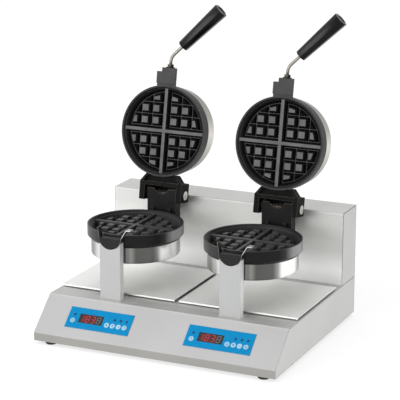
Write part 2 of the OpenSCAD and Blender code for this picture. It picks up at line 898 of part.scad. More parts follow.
// Path of the spring's wire: a straight leg, the coil about the pin, and a second leg.
function spring_path() =
    let (steps = 10, count = spring_turns * steps, c = [0, pin_back, pin_up])
    concat(
        [c + [-spring_half_l, -spring_r, -spring_leg_low]],
        [for (i = [0:count]) let (a = 180 - 360 * i / steps)
            c + [-spring_half_l + 2 * spring_half_l * i / count, spring_r * cos(a), spring_r * sin(a)]],
        [c + [spring_half_l, -spring_r, spring_leg_high]]
    );

// A tube of the given radius along a path that turns about the X direction.
module wire(path, r, sides = 6) {
    n = len(path);
    rings = [for (i = [0:n - 1])
        let (d = path[min(i + 1, n - 1)] - path[max(i - 1, 0)], t = d / norm(d),
            s = cross(t, [1, 0, 0]), u = s / norm(s), v = cross(t, u))
        for (k = [0:sides - 1]) path[i] + r * (cos(360 * k / sides) * u + sin(360 * k / sides) * v)];
    skin = [for (i = [0:n - 2]) for (k = [0:sides - 1]) let (j = (k + 1) % sides)
        [i * sides + k, i * sides + j, (i + 1) * sides + j, (i + 1) * sides + k]];
    polyhedron(rings, concat(skin, [[for (k = [sides - 1:-1:0]) k]],
        [[for (k = [0:sides - 1]) (n - 1) * sides + k]]));
}

module hinge_spring(side) {
    color("sienna") at_unit(side) wire(spring_path(), spring_wire_r);
}

// ---- Lid, drawn shut and then opened about the hinge pin ----

module lid_pose(side) {
    at_unit(side) translate([0, pin_back, pin_up]) rotate([-open_angle, 0, 0])
        translate([0, -pin_back, -pin_up]) children();
}

// Turns a lower part over, so that it faces down from just above the parting plane.
module turned_over() {
    translate([0, 0, lid_gap]) mirror([0, 0, 1]) children();
}

module lid_plate(side) {
    end_y = -lid_r - block_l;
    half = block_w / 2;
    color("dimgray") lid_pose(side) {
        turned_over() waffle_plate(lid_r, rim_land);
        difference() {
            intersection() {
                translate([0, 0, -axis_drop]) rod_y(block_r, end_y, band_bite - lid_r);
                box([-half, end_y, -block_proud], [half, 0, block_r]);
            }
            box([-plate_r, -plate_r - block_gap, -plate_r], [plate_r, 0, lid_gap + eps]);
            box([-half - 1, end_y - 1, -block_r - 1],
                [block_step_w - half, end_y + block_step_l, block_r + 1]);
            translate([rod_x, 0, rod_z])
                rod_y(rod_r + rod_hole_gap, end_y - 1, end_y + rod_in_block + eps);
        }
    }
}

module lid_yoke(side) {
    half = yoke_w / 2;
    neck = yoke_neck_w / 2;
    seat_y = lid_r - band_bite;
    ear_y = pin_back - yoke_bar_far;
    end_y = pin_back + ear_end;
    color("#2b2b2b") lid_pose(side) difference() {
        union() {
            translate([0, 0, yoke_low + yoke_rib_h - yoke_plate_t]) linear_extrude(yoke_plate_t)
                polygon([[-neck, seat_y], [neck, seat_y], [half, ear_y], [half, ear_y + yoke_rib_t],
                    [-half, ear_y + yoke_rib_t], [-half, ear_y]]);
            for (s = [-1, 1]) translate([0, 0, yoke_low]) linear_extrude(yoke_rib_h)
                polygon([[s * neck, seat_y], [s * half, ear_y], [s * half, ear_y + yoke_rib_t],
                    [s * (half - yoke_rib_t), ear_y + yoke_rib_t],
                    [s * (half - yoke_rib_t), ear_y + 1], [s * (neck - yoke_rib_t), seat_y]]);
            box([-half, ear_y, yoke_low], [half, pin_back - yoke_bar_near, yoke_low + yoke_bar_t]);
            for (x = [-half, half - ear_t]) {
                along_x(x, x + ear_t)
                    round_rect([ear_y, yoke_low], [end_y, pin_up + ear_rear], ear_round);
            }
            box([ear_t / 2 - half, ear_y, pin_up + ear_rear - yoke_cover_t],
                [half - ear_t / 2, pin_back + yoke_cover_end, pin_up + ear_rear]);
        }
        translate([0, 0, -1]) cylinder(r = lid_r + yoke_seat_gap, h = 2 * band_h);
        translate([0, pin_back, pin_up]) rod_x(pin_r + ear_hole_gap, -half - 1, half + 1);
    }
}

// Bent rod with its washer and lock nut, from inside the block to inside the grip.
module handle_rod(side) {
    block_y = -lid_r - block_l;
    bend_y = block_y - rod_straight;
    color("silver") lid_pose(side) translate([rod_x, 0, rod_z]) {
        rod_y(rod_r, bend_y, block_y + rod_in_block);
        rod_y(washer_r, block_y - washer_t, block_y);
        rod_y(nut_w / sqrt(3), block_y - washer_t - nut_l, block_y - washer_t, 6);
        translate([rod_bend_r, bend_y, 0]) rotate([0, 0, 180])
            rotate_extrude(angle = rod_angle) translate([rod_bend_r, 0]) circle(rod_r, $fn = 48);
        at_rod_end() rod_y(rod_r - rod_joint_step, -rod_reach - rod_in_grip, 10 * rod_joint_step);
    }
}

// Frame at the end of the rod's bend, with the rod running on along -Y.
module at_rod_end() {
    bend_y = -lid_r - block_l - rod_straight;
    translate([rod_bend_r * (1 - cos(rod_angle)), bend_y - rod_bend_r * sin(rod_angle), 0])
        rotate([0, 0, rod_angle]) children();
}

module handle_grip(side) {
    color("#1e1e1e") lid_pose(side) translate([rod_x, 0, rod_z]) at_rod_end()
        translate([0, -rod_reach, 0]) rotate([90, 360 / grip_sides / 2, 0]) difference() {
            union() {
                cylinder(d1 = grip_d1 - 2 * grip_chamfer, d2 = grip_d1, h = grip_chamfer,
                    $fn = grip_sides);
                translate([0, 0, grip_chamfer]) cylinder(d1 = grip_d1, d2 = grip_d2,
                    h = grip_l - 2 * grip_chamfer, $fn = grip_sides);
                translate([0, 0, grip_l - grip_chamfer]) cylinder(d1 = grip_d2,
                    d2 = grip_d2 - 2 * grip_chamfer, h = grip_chamfer, $fn = grip_sides);
            }
            translate([0, 0, -1]) cylinder(r = rod_r + rod_hole_gap, h = rod_in_grip + 2);
        }
}

module lower_drum(side) {
    color("lightgray") at_unit(side) drum();
}

module lid_drum(side) {
    color("lightgray") lid_pose(side) turned_over() drum();
}

module lower_element(side) {
    color("firebrick") at_unit(side) element();
}

module lid_element(side) {
    color("firebrick") lid_pose(side) turned_over() element();
}

front_deck_panel();
side_panel(left);  // side_panel_left
side_panel(right);  // side_panel_right
base_plate();
back_panel();
housing_cover();
housing_end(left);  // housing_end_left
housing_end(right);  // housing_end_right
rubber_feet();
cable_gland();
terminal_block();
control_boards();
displays();
indicator_lamps();
control_fascia(left);  // control_fascia_left
control_fascia(right);  // control_fascia_right
post(left);  // post_left
post(right);  // post_right
saddles();
rear_bearings();
drip_tray(left);  // drip_tray_left
drip_tray(right);  // drip_tray_right
button(left, 1);  // button_left_1
button(left, 2);  // button_left_2
button(left, 3);  // button_left_3
button(left, 4);  // button_left_4
button(left, 5);  // button_left_5
button(right, 1);  // button_right_1
button(right, 2);  // button_right_2
button(right, 3);  // button_right_3
button(right, 4);  // button_right_4
button(right, 5);  // button_right_5
lower_plate(left);  // lower_plate_left
lower_drum(left);  // lower_drum_left
lower_element(left);  // lower_element_left
hinge_bracket(left);  // hinge_bracket_left
hinge_screws(left);  // hinge_screws_left
rear_axle(left);  // rear_axle_left
hinge_pin(left);  // hinge_pin_left
hinge_spring(left);  // hinge_spring_left
lid_plate(left);  // lid_plate_left
lid_drum(left);  // lid_drum_left
lid_element(left);  // lid_element_left
lid_yoke(left);  // lid_yoke_left
handle_rod(left);  // handle_rod_left
handle_grip(left);  // handle_grip_left
lower_plate(right);  // lower_plate_right
lower_drum(right);  // lower_drum_right
lower_element(right);  // lower_element_right
hinge_bracket(right);  // hinge_bracket_right
hinge_screws(right);  // hinge_screws_right
rear_axle(right);  // rear_axle_right
hinge_pin(right);  // hinge_pin_right
hinge_spring(right);  // hinge_spring_right
lid_plate(right);  // lid_plate_right
lid_drum(right);  // lid_drum_right
lid_element(right);  // lid_element_right
lid_yoke(right);  // lid_yoke_right
handle_rod(right);  // handle_rod_right
handle_grip(right);  // handle_grip_right
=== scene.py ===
import math

import bpy
from mathutils import Matrix, Vector


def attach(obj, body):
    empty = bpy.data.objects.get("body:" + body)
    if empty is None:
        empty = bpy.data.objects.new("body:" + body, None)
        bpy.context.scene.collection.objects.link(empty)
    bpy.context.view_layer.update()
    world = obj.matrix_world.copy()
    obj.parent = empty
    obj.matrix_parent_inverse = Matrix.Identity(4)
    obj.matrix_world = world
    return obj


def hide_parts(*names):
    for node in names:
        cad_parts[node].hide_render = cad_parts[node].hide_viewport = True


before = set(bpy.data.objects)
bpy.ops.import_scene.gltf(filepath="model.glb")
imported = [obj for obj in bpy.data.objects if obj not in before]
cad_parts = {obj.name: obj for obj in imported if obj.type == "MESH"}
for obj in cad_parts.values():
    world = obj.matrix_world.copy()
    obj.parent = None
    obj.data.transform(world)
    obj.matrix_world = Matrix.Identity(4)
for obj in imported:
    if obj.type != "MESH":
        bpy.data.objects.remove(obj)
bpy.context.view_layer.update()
bpy.ops.object.select_all(action="DESELECT")
print("stage: frame loaded")

mm = 0.001
sides = {"left": -1, "right": 1}
buttonsPerSide = 5

# Places in the CAD frame that the looks are worked out from.
cabinet = {
    "frontY": -238 * mm,  # face of the front lip
    "lipZ": 26 * mm,  # where the slope starts
    "slopeRun": 74 * mm,
    "slopeRise": 66 * mm,
    "unitX": 139 * mm,  # each baker's centre line
    "unitY": -28 * mm,
    "rimZ": 232 * mm,  # parting plane of the plates
}
hinge = {"back": 141 * mm, "up": 30.5 * mm, "open": math.radians(100.5)}


def unitMatrix(side):
    return Matrix.Translation((sides[side] * cabinet["unitX"], cabinet["unitY"], cabinet["rimZ"]))


def lidMatrix(side):
    pin = Vector((0, hinge["back"], hinge["up"]))
    turn = Matrix.Rotation(-hinge["open"], 4, "X")
    return unitMatrix(side) @ Matrix.Translation(pin) @ turn @ Matrix.Translation(-pin)


def panelMatrix(side):
    angle = math.atan2(cabinet["slopeRise"], cabinet["slopeRun"])
    middle = math.hypot(cabinet["slopeRise"], cabinet["slopeRun"]) / 2
    start = Vector((sides[side] * cabinet["unitX"], cabinet["frontY"], cabinet["lipZ"]))
    return Matrix.Translation(start) @ Matrix.Rotation(angle, 4, "X") @ Matrix.Translation((0, middle, 0))


def linear(hexColour):
    channels = [int(hexColour[i:i + 2], 16) / 255 for i in (1, 3, 5)]
    return [c / 12.92 if c <= 0.04045 else ((c + 0.055) / 1.055) ** 2.4 for c in channels] + [1.0]


# Each input takes a plain value or the socket that feeds it.
def setInputs(tree, node, inputs):
    for key, value in inputs.items():
        if isinstance(value, bpy.types.NodeSocket):
            tree.links.new(value, node.inputs[key])
        else:
            node.inputs[key].default_value = value


def addNode(tree, kind, attrs=None, inputs=None):
    node = tree.nodes.new(kind)
    for key, value in (attrs or {}).items():
        setattr(node, key, value)
    setInputs(tree, node, inputs or {})
    return node


def newMaterial(name):
    material = bpy.data.materials.new(name)
    material.use_nodes = True
    tree = material.node_tree
    tree.nodes.clear()
    shader = addNode(tree, "ShaderNodeBsdfPrincipled")
    output = addNode(tree, "ShaderNodeOutputMaterial", inputs={"Surface": shader.outputs[0]})
    output.is_active_output = True
    return material, tree, shader


def setRamp(ramp, stops):
    elements = ramp.color_ramp.elements
    while len(elements) > 1:
        elements.remove(elements[-1])
    elements[0].position, elements[0].color = stops[0][0], linear(stops[0][1])
    for place, colour in stops[1:]:
        elements.new(place).color = linear(colour)


corners = {"samples": 4, "flat": 0.985, "turned": 0.90}  # cosines between which a corner takes its tint


# The common end of a material: shine varies the roughness, and relief is the pattern that stands proud.
def finishShader(tree, shader, colour, shine, look, relief=None):
    low, high = look["rough"]
    rough = addNode(tree, "ShaderNodeMapRange", inputs={"Value": shine, "To Min": low, "To Max": high})
    edge = addNode(tree, "ShaderNodeBevel", {"samples": corners["samples"]}, {"Radius": look["edgeMm"] * mm})
    normal = edge.outputs[0]
    if relief:
        bump = addNode(tree, "ShaderNodeBump", inputs={
            "Strength": look["relief"], "Distance": look["reliefMm"] * mm, "Height": relief,
            "Normal": edge.outputs[0]})
        normal = bump.outputs[0]
    setInputs(tree, shader, {"Base Color": colour, "Roughness": rough.outputs[0], "Normal": normal})


# Tints the corners, where a bevelled normal turns away from the face's own.
def tintEdges(tree, colour, tint, radiusMm):
    rounded = addNode(tree, "ShaderNodeBevel", {"samples": corners["samples"]}, {"Radius": radiusMm * mm})
    face = addNode(tree, "ShaderNodeNewGeometry")
    along = addNode(tree, "ShaderNodeVectorMath", {"operation": "DOT_PRODUCT"},
                    {0: rounded.outputs[0], 1: face.outputs["Normal"]})
    rubbed = addNode(tree, "ShaderNodeMapRange", inputs={
        "Value": along.outputs["Value"], "From Min": corners["flat"], "From Max": corners["turned"]})
    mixed = addNode(tree, "ShaderNodeMix", {"data_type": "RGBA"},
                    {"Factor": rubbed.outputs[0], "A": colour, "B": linear(tint)})
    return mixed.outputs["Result"]


# How far a place lies to the side of the nearer baker's centre line.
def bakerOffset(tree, x):
    rightSide = addNode(tree, "ShaderNodeMath", {"operation": "GREATER_THAN"}, {0: x, 1: 0.0})
    centre = addNode(tree, "ShaderNodeMath", {"operation": "MULTIPLY_ADD"},
                     {0: rightSide.outputs[0], 1: 2 * cabinet["unitX"], 2: -cabinet["unitX"]})
    return addNode(tree, "ShaderNodeMath", {"operation": "SUBTRACT"}, {0: x, 1: centre.outputs[0]}).outputs[0]


brushed = {
    "lineMm": 1.0, "lineLengthMm": 60, "lineDetail": 2.0, "lineRoughness": 0.6, "lineShare": 0.45,
    "cloudsPerM": 7.0, "cloudDetail": 2.0, "patternRange": (0.45, 0.95), "toneRange": (0.96, 1.03),
    "rough": (0.58, 0.68), "relief": 0.05, "reliefMm": 0.1, "edgeMm": 0.6, "seamMm": 2.2, "topMm": 300,
}


# 304 stainless sheet, satin brushed along one way: even pale grey with faint drawn lines.
# The real lines are about 0.1 mm apart; they are drawn 1 mm apart so that they show.
# zones: heights in mm from which a tone holds, for one folded sheet that faces several ways: painted light
# and shade.
# flank: a lighter tone for the faces that look along X: painted light on a bent sheet's flanges.
# seam: the tone of the thin dark line where the sheet ends against the next one.
def brushedStainless(name, grain, zones, blendMm=1.5, flank=None, seam=None):
    material, tree, shader = newMaterial(name)
    shader.inputs["Metallic"].default_value = 1.0
    place = addNode(tree, "ShaderNodeTexCoord").outputs["Object"]
    across, along = 1 / (brushed["lineMm"] * mm), 1 / (brushed["lineLengthMm"] * mm)
    scale = [along if axis == grain else across for axis in "XYZ"]
    stretched = addNode(tree, "ShaderNodeMapping", inputs={"Scale": scale, "Vector": place})
    lines = addNode(tree, "ShaderNodeTexNoise", inputs={
        "Scale": 1.0, "Detail": brushed["lineDetail"], "Roughness": brushed["lineRoughness"],
        "Vector": stretched.outputs[0]})
    clouds = addNode(tree, "ShaderNodeTexNoise", inputs={
        "Scale": brushed["cloudsPerM"], "Detail": brushed["cloudDetail"], "Vector": place})
    both = addNode(tree, "ShaderNodeMath", {"operation": "MULTIPLY_ADD"},
                   {0: lines.outputs[0], 1: brushed["lineShare"], 2: clouds.outputs[0]})
    parts = addNode(tree, "ShaderNodeSeparateXYZ", inputs={"Vector": place})
    height = addNode(tree, "ShaderNodeMapRange", inputs={
        "Value": parts.outputs["Z"], "From Max": brushed["topMm"] * mm})
    tone = addNode(tree, "ShaderNodeValToRGB", inputs={"Fac": height.outputs[0]})
    # Painted light and shade: one tone for each height band of the sheet.
    stops = []
    for startMm, colour in zones:
        if stops:
            stops.append(((startMm - blendMm) / brushed["topMm"], stops[-1][1]))
        stops.append((startMm / brushed["topMm"], colour))
    setRamp(tone, stops)
    colour = tone.outputs[0]
    # Painted light: faces that look along X take the lighter flank tone.
    if flank:
        face = addNode(tree, "ShaderNodeNewGeometry")
        turned = addNode(tree, "ShaderNodeSeparateXYZ", inputs={"Vector": face.outputs["Normal"]})
        sideways = addNode(tree, "ShaderNodeMath", {"operation": "ABSOLUTE"}, {0: turned.outputs["X"]})
        mixed = addNode(tree, "ShaderNodeMix", {"data_type": "RGBA"},
                        {"Factor": sideways.outputs[0], "A": colour, "B": linear(flank)})
        colour = mixed.outputs["Result"]
    patternLow, patternHigh = brushed["patternRange"]
    toneLow, toneHigh = brushed["toneRange"]
    drawn = addNode(tree, "ShaderNodeMapRange", inputs={
        "Value": both.outputs[0], "From Min": patternLow, "From Max": patternHigh, "To Min": toneLow,
        "To Max": toneHigh})
    scaled = addNode(tree, "ShaderNodeVectorMath", {"operation": "SCALE"},
                     {0: colour, "Scale": drawn.outputs[0]})
    colour = scaled.outputs[0]
    if seam:
        colour = tintEdges(tree, colour, seam, brushed["seamMm"])
    finishShader(tree, shader, colour, lines.outputs[0], brushed, lines.outputs[0])
    return material


# Coordinates in a plate's own frame: the plate's centre at the origin and its rim at z = 0.
def plateCoords(tree, side, isLid):
    coords = addNode(tree, "ShaderNodeTexCoord")
    back = (lidMatrix(side) if isLid else unitMatrix(side)).inverted()
    mapping = addNode(tree, "ShaderNodeMapping", inputs={
        "Vector": coords.outputs["Object"], "Location": back.to_translation(),
        "Rotation": back.to_euler("XYZ")})
    return mapping.outputs[0]


spun = {
    "lineMm": 0.8, "linesRoundPerM": 14, "lineDetail": 3.0, "toneRange": (0.88, 1.08), "anisotropic": 0.6,
    "rough": (0.16, 0.26), "relief": 0.06, "reliefMm": 0.1, "edgeMm": 1.0,
    # Painted reflections: tones by the angle round the axis, first for the lid's drums, then for the lower
    # ones.
    "lidPaintedReflections": [
        (0.0, "#7c7a74"), (0.2, "#b4b2aa"), (0.34, "#74726c"), (0.44, "#a09e96"), (0.50, "#dad8d0"),
        (0.56, "#b0aea6"), (0.63, "#6c6a64"), (0.70, "#5e5c56"), (0.8, "#a6a49c"), (0.95, "#82807a")],
    "lowerPaintedReflections": [
        (0.00, "#b4b4b2"), (0.10, "#70706e"), (0.13, "#888886"), (0.165, "#e0e0de"), (0.20, "#ececeb"),
        (0.28, "#a8a8a6"), (0.295, "#6c6c6a"), (0.307, "#8c8c89"), (0.325, "#5a5a57"), (0.385, "#626260"),
        (0.405, "#a0a09e"), (0.42, "#ffffff"), (0.49, "#ffffff"), (0.515, "#b8b8b6"), (0.57, "#a0a09e"),
        (0.68, "#e6e6e5"), (0.76, "#6e6e6b"), (0.84, "#c9c9c7"), (0.92, "#e4e4e3")],
}


# Stainless drum, spun and polished round its axis, with painted reflections: upright bands of light and dark,
# fixed round the axis.
# The real spinning lines are finer than 0.8 mm; they are drawn that coarse so that they show.
def spunStainless(name, side, isLid):
    material, tree, shader = newMaterial(name)
    setInputs(tree, shader, {"Metallic": 1.0, "Anisotropic": spun["anisotropic"]})
    place = plateCoords(tree, side, isLid)
    # Painted reflections: light and dark bands by the angle round the drum's axis.
    turned = addNode(tree, "ShaderNodeTexGradient", {"gradient_type": "RADIAL"}, {"Vector": place})
    paintedLightBands = addNode(tree, "ShaderNodeValToRGB", inputs={"Fac": turned.outputs[0]})
    setRamp(paintedLightBands, spun["lidPaintedReflections" if isLid else "lowerPaintedReflections"])
    scale = (spun["linesRoundPerM"], spun["linesRoundPerM"], 1 / (spun["lineMm"] * mm))
    stretched = addNode(tree, "ShaderNodeMapping", inputs={"Scale": scale, "Vector": place})
    lines = addNode(tree, "ShaderNodeTexNoise", inputs={
        "Scale": 1.0, "Detail": spun["lineDetail"], "Vector": stretched.outputs[0]})
    soft = addNode(tree, "ShaderNodeMapRange", inputs={
        "Value": lines.outputs[0], "To Min": spun["toneRange"][0], "To Max": spun["toneRange"][1]})
    colour = addNode(tree, "ShaderNodeVectorMath", {"operation": "SCALE"},
                     {0: paintedLightBands.outputs[0], "Scale": soft.outputs[0]})
    finishShader(tree, shader, colour.outputs[0], lines.outputs[0], spun, lines.outputs[0])
    return material


# Sizes of the plates that the coating's wear and its painted light follow, then the tones of both plates and
# of each.
coated = {
    "innerMm": 7, "pegTopMm": 5, "deepFromMm": 5.5, "deepToMm": 12, "floorMm": 17, "ringInMm": 18.3,
    "firstRibMm": 8.75, "ribStepMm": 13.25, "ribHalfMm": 0.55, "ringHalfMm": 0.6, "landMm": 0.6,
    "rimHalfMm": 0.9, "bandFromMm": 0.9, "blockFromMm": 0.4, "pegHalfMm": 0.3, "floorHalfMm": 0.4,
    # The valley tone is painted shade in the hollows, and the rib tone a painted highlight on the floor.
    "wallHalfMm": 0.3, "valley": "#0f0f0f", "ribHighlight": "#464646", "ior": 1.35, "specular": 0.4,
    "grainMm": 0.9, "grainDetail": 3.0, "patchesPerM": 38.0, "wornFrom": 0.35, "wornTo": 0.6,
    "rough": (0.34, 0.52), "relief": 0.25, "reliefMm": 0.12, "edgeMm": 0.9,
}
# The lid's and the lower plate's tones are lit and shaded copies of one coating, painted light: the open
# lid's peg tops and block are lighter, the lower plate's darker.
# The rim tone is a painted highlight on the rim's edge, and the bands a painted sheen and shade round the
# outer band.
coatedLid = {
    "outerMm": 101.5,
    "gapMm": 0.3,  # the shut lid's rim rests this far above the lower one
    "coat": "#222222", "land": "#202020", "rim": "#3e3e3e", "block": "#333333", "rubbed": "#4e4e4e",
    "wornSheen": "#626262", "paintedLightBands": [(0.0, "#262626"), (0.5, "#1c1c1c")],
}
coatedLower = {
    "outerMm": 105, "gapMm": 0,
    "coat": "#1c1c1c", "land": "#1c1c1c", "rim": "#4c4c4c", "block": "#181818", "rubbed": "#303030",
    "wornSheen": "#4a4a4a", "paintedLightBands": [
        (0.05, "#6c6c6c"), (0.15, "#3c3c3c"), (0.25, "#1c1c1c"), (0.30, "#080808"), (0.40, "#080808"),
        (0.425, "#303030"), (0.46, "#9c9c9c"), (0.50, "#a2a2a2"), (0.56, "#606060"), (0.9, "#242424")],
}


# Cast iron under a baked non-stick coating: near black with a satin grain, and with painted light: painted
# shade in the valleys, painted highlights on the rim's edge and the floor's ribs, and grey tops of the pegs
# and bars in patches, partly wear where the plates are wiped and scraped and partly painted highlight.
def coatedIron(name, side, isLid):
    look = {**coated, **(coatedLid if isLid else coatedLower)}
    outerMm, gapMm = look["outerMm"], look["gapMm"]
    material, tree, shader = newMaterial(name)
    place = plateCoords(tree, side, isLid)
    parts = addNode(tree, "ShaderNodeSeparateXYZ", inputs={"Vector": place})
    flat = addNode(tree, "ShaderNodeVectorMath", {"operation": "MULTIPLY"}, {0: place, 1: (1, 1, 0)})
    radius = addNode(tree, "ShaderNodeVectorMath", {"operation": "LENGTH"}, {0: flat.outputs[0]})
    found = {"x": parts.outputs["X"], "y": parts.outputs["Y"], "z": parts.outputs["Z"],
             "radius": radius.outputs["Value"]}
    # Masks for painted light: painted highlights on the rim's outer edge, along the floor's ribs midway
    # between the pegs and round the floor's ring.
    steps = [
        ("depth", "ABSOLUTE", "z"),
        ("inside", "LESS_THAN", "radius", (outerMm - look["innerMm"]) * mm),
        ("atPegTop", "COMPARE", "depth", (look["pegTopMm"] + gapMm) * mm, look["pegHalfMm"] * mm),
        ("onTop", "MULTIPLY", "inside", "atPegTop"),
        ("atFloor", "COMPARE", "depth", (look["floorMm"] + gapMm) * mm, look["floorHalfMm"] * mm),
        ("onFloor", "MULTIPLY", "inside", "atFloor"),
        ("ring", "COMPARE", "radius", (outerMm - look["ringInMm"]) * mm, look["ringHalfMm"] * mm),
        ("onLand", "LESS_THAN", "depth", look["landMm"] * mm),
        ("atRim", "COMPARE", "radius", outerMm * mm, look["rimHalfMm"] * mm),
        ("onRim", "MULTIPLY", "onLand", "atRim"),
        ("onBlock", "GREATER_THAN", "radius", (outerMm + look["blockFromMm"]) * mm),
        ("underLand", "GREATER_THAN", "depth", look["bandFromMm"] * mm),
        ("atWall", "COMPARE", "radius", outerMm * mm, look["wallHalfMm"] * mm),
        ("onBand", "MULTIPLY", "underLand", "atWall"),
    ]
    for axis in "xy":
        steps += [
            (axis + "Away", "ABSOLUTE", axis),
            (axis + "Past", "SUBTRACT", axis + "Away", look["firstRibMm"] * mm),
            (axis + "Wave", "PINGPONG", axis + "Past", look["ribStepMm"] * mm),
            (axis + "Rib", "LESS_THAN", axis + "Wave", look["ribHalfMm"] * mm),
        ]
    steps += [
        ("ribs", "MAXIMUM", "xRib", "yRib"),
        ("lines", "MAXIMUM", "ring", "ribs"),
        ("onRib", "MULTIPLY", "onFloor", "lines"),
    ]
    for result, operation, *terms in steps:
        inputs = {index: found.get(term, term) for index, term in enumerate(terms)}
        found[result] = addNode(tree, "ShaderNodeMath", {"operation": operation}, inputs).outputs[0]
    # Painted shade: the hollows between the pegs, below their tops, are painted darker than the coat.
    deep = addNode(tree, "ShaderNodeMapRange", inputs={
        "Value": found["depth"], "From Min": look["deepFromMm"] * mm, "From Max": look["deepToMm"] * mm})
    inDeep = addNode(tree, "ShaderNodeMath", {"operation": "MULTIPLY"},
                     {0: deep.outputs[0], 1: found["inside"]})
    grain = addNode(tree, "ShaderNodeTexNoise", inputs={
        "Scale": 1 / (look["grainMm"] * mm), "Detail": look["grainDetail"], "Vector": place})
    patches = addNode(tree, "ShaderNodeTexNoise", inputs={
        "Scale": look["patchesPerM"], "Detail": look["grainDetail"], "Vector": place})
    wornSheen = addNode(tree, "ShaderNodeValToRGB", inputs={"Fac": patches.outputs[0]})
    setRamp(wornSheen, [(look["wornFrom"], look["rubbed"]), (look["wornTo"], look["wornSheen"])])
    # Painted sheen and shade round the outer band, by the angle round the plate.
    turned = addNode(tree, "ShaderNodeTexGradient", {"gradient_type": "RADIAL"}, {"Vector": place})
    band = addNode(tree, "ShaderNodeValToRGB", inputs={"Fac": turned.outputs[0]})
    setRamp(band, look["paintedLightBands"])
    # Layers: painted valley shade, land, painted band sheen, block, painted rim highlight, painted rib and
    # ring highlights, then the peg tops, partly wear and partly painted highlight.
    layers = (
        (inDeep.outputs[0], linear(look["valley"])), (found["onLand"], linear(look["land"])),
        (found["onBand"], band.outputs[0]), (found["onBlock"], linear(look["block"])),
        (found["onRim"], linear(look["rim"])), (found["onRib"], linear(look["ribHighlight"])),
        (found["onTop"], wornSheen.outputs[0]),
    )
    colour = linear(look["coat"])
    for mask, tone in layers:
        mixed = addNode(tree, "ShaderNodeMix", {"data_type": "RGBA"},
                        {"Factor": mask, "A": colour, "B": tone})
        colour = mixed.outputs["Result"]
    setInputs(tree, shader, {"IOR": look["ior"], "Specular IOR Level": look["specular"]})
    finishShader(tree, shader, colour, patches.outputs[0], look, grain.outputs[0])
    return material


grained = {
    "patchesPerM": 45.0, "patchFrom": 0.35, "patchTo": 0.68, "detail": 3.0, "roughSpread": 0.06,
    "reliefMm": 0.1,
}


# One plain material with a fine surface grain, for castings, plastics and turned parts.
def grainedMaterial(name, colour, other, roughness, metallic=0.0, grainMm=1.2, strength=0.15, edgeMm=0.6,
                    specular=0.5, edgeWearAndSheen=None):
    material, tree, shader = newMaterial(name)
    place = addNode(tree, "ShaderNodeTexCoord").outputs["Object"]
    grain = addNode(tree, "ShaderNodeTexNoise", inputs={
        "Scale": 1 / (grainMm * mm), "Detail": grained["detail"], "Vector": place})
    patches = addNode(tree, "ShaderNodeTexNoise", inputs={
        "Scale": grained["patchesPerM"], "Detail": grained["detail"], "Vector": place})
    ramp = addNode(tree, "ShaderNodeValToRGB", inputs={"Fac": patches.outputs[0]})
    setRamp(ramp, [(grained["patchFrom"], colour), (grained["patchTo"], other)])
    # Pale corners where a wear tone is given: partly wear, partly painted highlight.
    surface = tintEdges(tree, ramp.outputs[0], edgeWearAndSheen, edgeMm) if edgeWearAndSheen else ramp.outputs[0]
    setInputs(tree, shader, {"Metallic": metallic} if metallic else {"Specular IOR Level": specular})
    look = {"rough": (roughness - grained["roughSpread"], roughness + grained["roughSpread"]),
            "relief": strength, "reliefMm": grained["reliefMm"], "edgeMm": edgeMm}
    finishShader(tree, shader, surface, grain.outputs[0], look, grain.outputs[0])
    return material


saddle = {
    "spanMm": 40, "scratchesPerM": 300.0, "rough": (0.24, 0.34), "edgeMm": 0.5, "edge": "#a09e98",
    "paintedLightTones": [(0.2, "#5c5852"), (0.28, "#d6d6d2"), (0.67, "#d6d6d2"), (0.71, "#86827c"), (0.83, "#86827c"),
              (0.87, "#d6d6d2")],  # from the leaning arm over the flared one to its tab
}


# Stainless saddles, polished where the trunnions rub. Their tones are painted reflections and shade: the
# leaning arm is painted dark for the black plate that it mirrors, the flared one half in painted shade, the
# tab pale for the room.
def saddleMaterial():
    material, tree, shader = newMaterial("polishedStainlessSaddle")
    shader.inputs["Metallic"].default_value = 1.0
    place = addNode(tree, "ShaderNodeTexCoord").outputs["Object"]
    parts = addNode(tree, "ShaderNodeSeparateXYZ", inputs={"Vector": place})
    share = addNode(tree, "ShaderNodeMapRange", inputs={
        "Value": bakerOffset(tree, parts.outputs["X"]), "From Min": -saddle["spanMm"] * mm,
        "From Max": saddle["spanMm"] * mm})
    # Painted reflections and shade, by the place across the baker.
    paintedLightTones = addNode(tree, "ShaderNodeValToRGB", inputs={"Fac": share.outputs[0]})
    setRamp(paintedLightTones, saddle["paintedLightTones"])
    scratches = addNode(tree, "ShaderNodeTexNoise", inputs={
        "Scale": saddle["scratchesPerM"], "Vector": place})
    colour = tintEdges(tree, paintedLightTones.outputs[0], saddle["edge"], saddle["edgeMm"])
    finishShader(tree, shader, colour, scratches.outputs[0], saddle)
    return material


rod = {
    "plate": "#86827a", "stained": "#2e2a25", "stainMm": (5, 16), "grainMm": 1.25, "grainDetail": 3.0,
    "rough": (0.24, 0.36), "edgeMm": 0.6,
}


